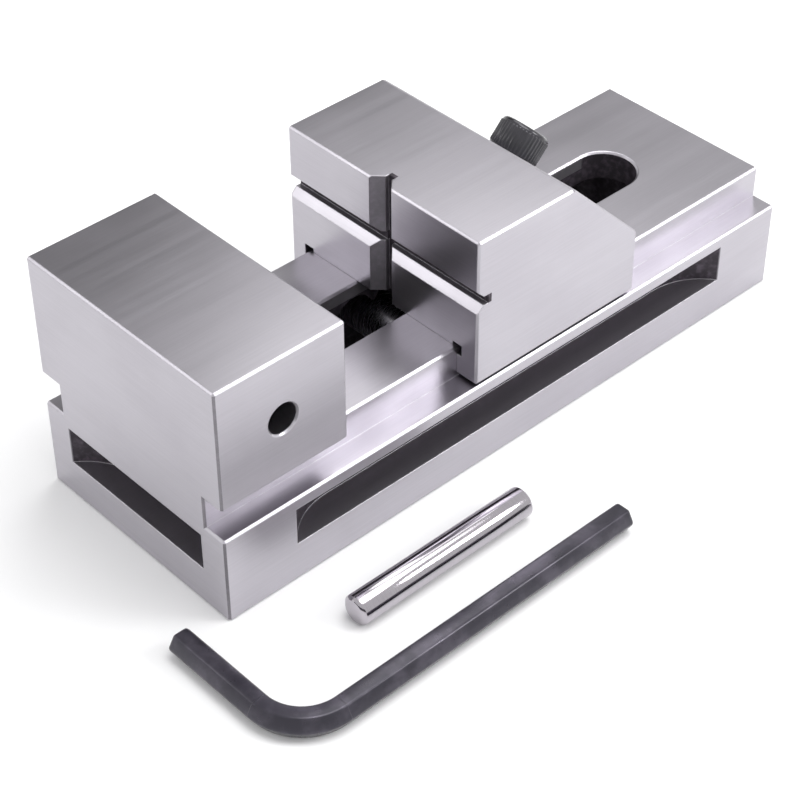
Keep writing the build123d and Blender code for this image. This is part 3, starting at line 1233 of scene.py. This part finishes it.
@dataclass
class HexKey:
    """The L-shaped hexagon key that lies beside the vise."""

    flats: float = 6.0 * MM
    bend: float = 12.0 * MM
    corner: float = 0.45 * MM
    end_chamfer: float = 0.9 * MM
    bend_steps: int = 28

    def build(self, effects: Effects) -> None:
        """Model the key and dress it.

        Args:
            effects: The shared node groups.
        """
        low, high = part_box("hex_key")
        across = self.flats / math.sqrt(3)
        level = (low.z + high.z) / 2
        long_line, short_line = low.y + across, low.x + across
        bm = bmesh.new()
        start = Matrix.Translation((high.x, long_line, level)) @ Euler(
            (math.pi / 2, 0, math.pi / 2)).to_matrix().to_4x4()
        made = bmesh.ops.create_circle(bm, cap_ends=True, radius=across, segments=6,
                                       matrix=start @ Matrix.Rotation(math.pi / 6, 4, "Z"))
        bmesh.ops.bevel(bm, geom=made["verts"], offset=self.corner, offset_type="OFFSET",
                        affect="VERTICES", segments=3, profile=0.5, material=-1)
        tip = bm.faces[:][0]
        tip = self._run(bm, tip, Vector((short_line + self.bend - high.x, 0, 0)))
        made = bmesh.ops.spin(bm, geom=[tip], angle=-math.pi / 2, steps=self.bend_steps,
                              axis=(0, 0, 1), cent=(short_line + self.bend,
                                                    long_line + self.bend, level))
        tip = next(g for g in made["geom_last"] if isinstance(g, bmesh.types.BMFace))
        self._run(bm, tip, Vector((0, high.y - long_line - self.bend, 0)))
        self._break_ends(bm, high)
        piece = finish_mesh(bm, "black_key")
        dress(piece, BlackOxide(name="black key").build(effects))
        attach(piece, Body.KEY.value)
        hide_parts("hex_key")
        log.info("black_key built, %d faces", len(piece.data.polygons))

    @staticmethod
    def _run(bm: bmesh.types.BMesh, face: bmesh.types.BMFace,
             step: Vector) -> bmesh.types.BMFace:
        """Extrude a face along a straight run.

        Args:
            bm: The mesh.
            face: The face.
            step: How far and which way.

        Returns:
            The moved face.
        """
        made = bmesh.ops.extrude_face_region(bm, geom=[face])
        bmesh.ops.translate(bm, vec=step, verts=new_verts(made))
        return new_faces(made)[0]

    def _break_ends(self, bm: bmesh.types.BMesh, high: Vector) -> None:
        """Round the rims of both ends.

        Args:
            bm: The mesh.
            high: The key's highest corner.
        """
        for index, limit in ((0, high.x), (1, high.y)):
            rim = [e for e in bm.edges
                   if all(abs(v.co[index] - limit) < 1e-6 for v in e.verts)]
            bmesh.ops.bevel(bm, geom=rim, offset=self.end_chamfer, offset_type="OFFSET",
                            affect="EDGES", segments=3, profile=0.5, material=-1)


# ---------------------------------------------------------------------- studio


@dataclass
class Panel:
    """A soft area light that faces the vise."""

    name: str
    place: Vector
    size: float
    watts: float

    def build(self, target: Vector) -> None:
        """Hang the light.

        Args:
            target: The point that it faces.
        """
        lamp = bpy.data.lights.new(self.name, "AREA")
        lamp.shape = "DISK"
        lamp.size = self.size
        lamp.energy = self.watts
        made = bpy.data.objects.new(self.name, lamp)
        made.location = self.place
        made.rotation_euler = (target - self.place).to_track_quat("-Z", "Y").to_euler()
        bpy.context.scene.collection.objects.link(made)


@dataclass
class Studio:
    """Pale floor, soft light all round with one darker side, and the camera."""

    azimuth: float = -42.76
    elevation: float = 40.39
    roll: float = -0.217
    distance: float = 0.51894
    target: Vector = field(default_factory=lambda: Vector((-0.017843, -0.008812, 0.007498)))
    lens: float = 98.97
    floor_radius: float = 3.0
    bright: float = 0.86
    dim: float = 0.03
    dim_way: Vector = field(default_factory=lambda: Vector((0.47, 0.83, 0.48)).normalized())
    dim_inner: float = 7.2
    dim_outer: float = 28.7
    panels: tuple[Panel, ...] = (
        Panel("overhead", Vector((0.15, -0.15, 0.95)), 0.7, 4.5),
        Panel("left_back", Vector((-0.60, 0.56, 0.54)), 0.20, 0.41),
        Panel("right_front", Vector((0.54, -0.62, 0.57)), 0.36, 2.7),
        Panel("right_back", Vector((0.244, 0.206, 0.479)), 0.275, 0.4),
    )

    def build(self) -> None:
        """Build the floor, the lights and the camera."""
        self._floor()
        self._world()
        for panel in self.panels:
            panel.build(Vector((0, 0, 0.03)))
        self._camera()
        scene = bpy.context.scene
        scene.view_settings.view_transform = "Standard"
        scene.view_settings.look = "None"
        log.info("studio built")

    def _floor(self) -> None:
        """Lay the floor just under the lowest piece."""
        bm = bmesh.new()
        bmesh.ops.create_circle(bm, cap_ends=True, radius=self.floor_radius, segments=96,
                                matrix=Matrix.Translation((0, 0, cad_box[0][2])))
        floor = finish_mesh(bm, "floor")
        if floor.data.polygons[0].normal.z < 0:
            floor.data.flip_normals()
        floor.data.materials.append(PaleFloor().build())

    def _world(self) -> None:
        """Light the whole sky softly, dimmer round one direction."""
        world = bpy.data.worlds.new("studio sky")
        bpy.context.scene.world = world
        world.use_nodes = True
        graph = Graph(world.node_tree)
        sky = graph.node("TexCoord")
        match = graph.vector("DOT_PRODUCT", sky.outputs["Generated"], self.dim_way)
        level = graph.span(match, math.cos(math.radians(self.dim_outer)),
                           math.cos(math.radians(self.dim_inner)), self.bright, self.dim)
        colour = graph.node("CombineColor")
        for socket in colour.inputs:
            graph.put(socket, level)
        background = world.node_tree.nodes["Background"]
        graph.put(background.inputs["Color"], colour.outputs[0])

    def _camera(self) -> None:
        """Place the camera at the studio's one fixed viewpoint."""
        turn = Euler((math.radians(90 - self.elevation), 0, math.radians(self.azimuth)))
        rotation = turn.to_matrix() @ Matrix.Rotation(math.radians(self.roll), 3, "Z")
        camera = bpy.data.cameras.new("camera")
        camera.sensor_width = 36.0
        camera.lens = self.lens
        camera.clip_start = 0.01
        made = bpy.data.objects.new("camera", camera)
        back = rotation @ Vector((0, 0, 1))
        made.matrix_world = Matrix.Translation(
            self.target + back * self.distance) @ rotation.to_4x4()
        bpy.context.scene.collection.objects.link(made)
        bpy.context.scene.camera = made


def main() -> None:
    """Build every piece in order, and the studio round them."""
    logging.basicConfig(level=logging.INFO, format="%(name)s: %(message)s")
    effects = Effects()
    line = ScrewLine()
    ViseBody().build(effects)
    MovingJaw().build(effects, line)
    ClampScrew().build(effects, line)
    PullBar().build(effects)
    BarSpring().build(effects, line)
    StopPin().build(effects)
    HexKey().build(effects)
    Studio().build()


if __name__ == "__main__":
    main()
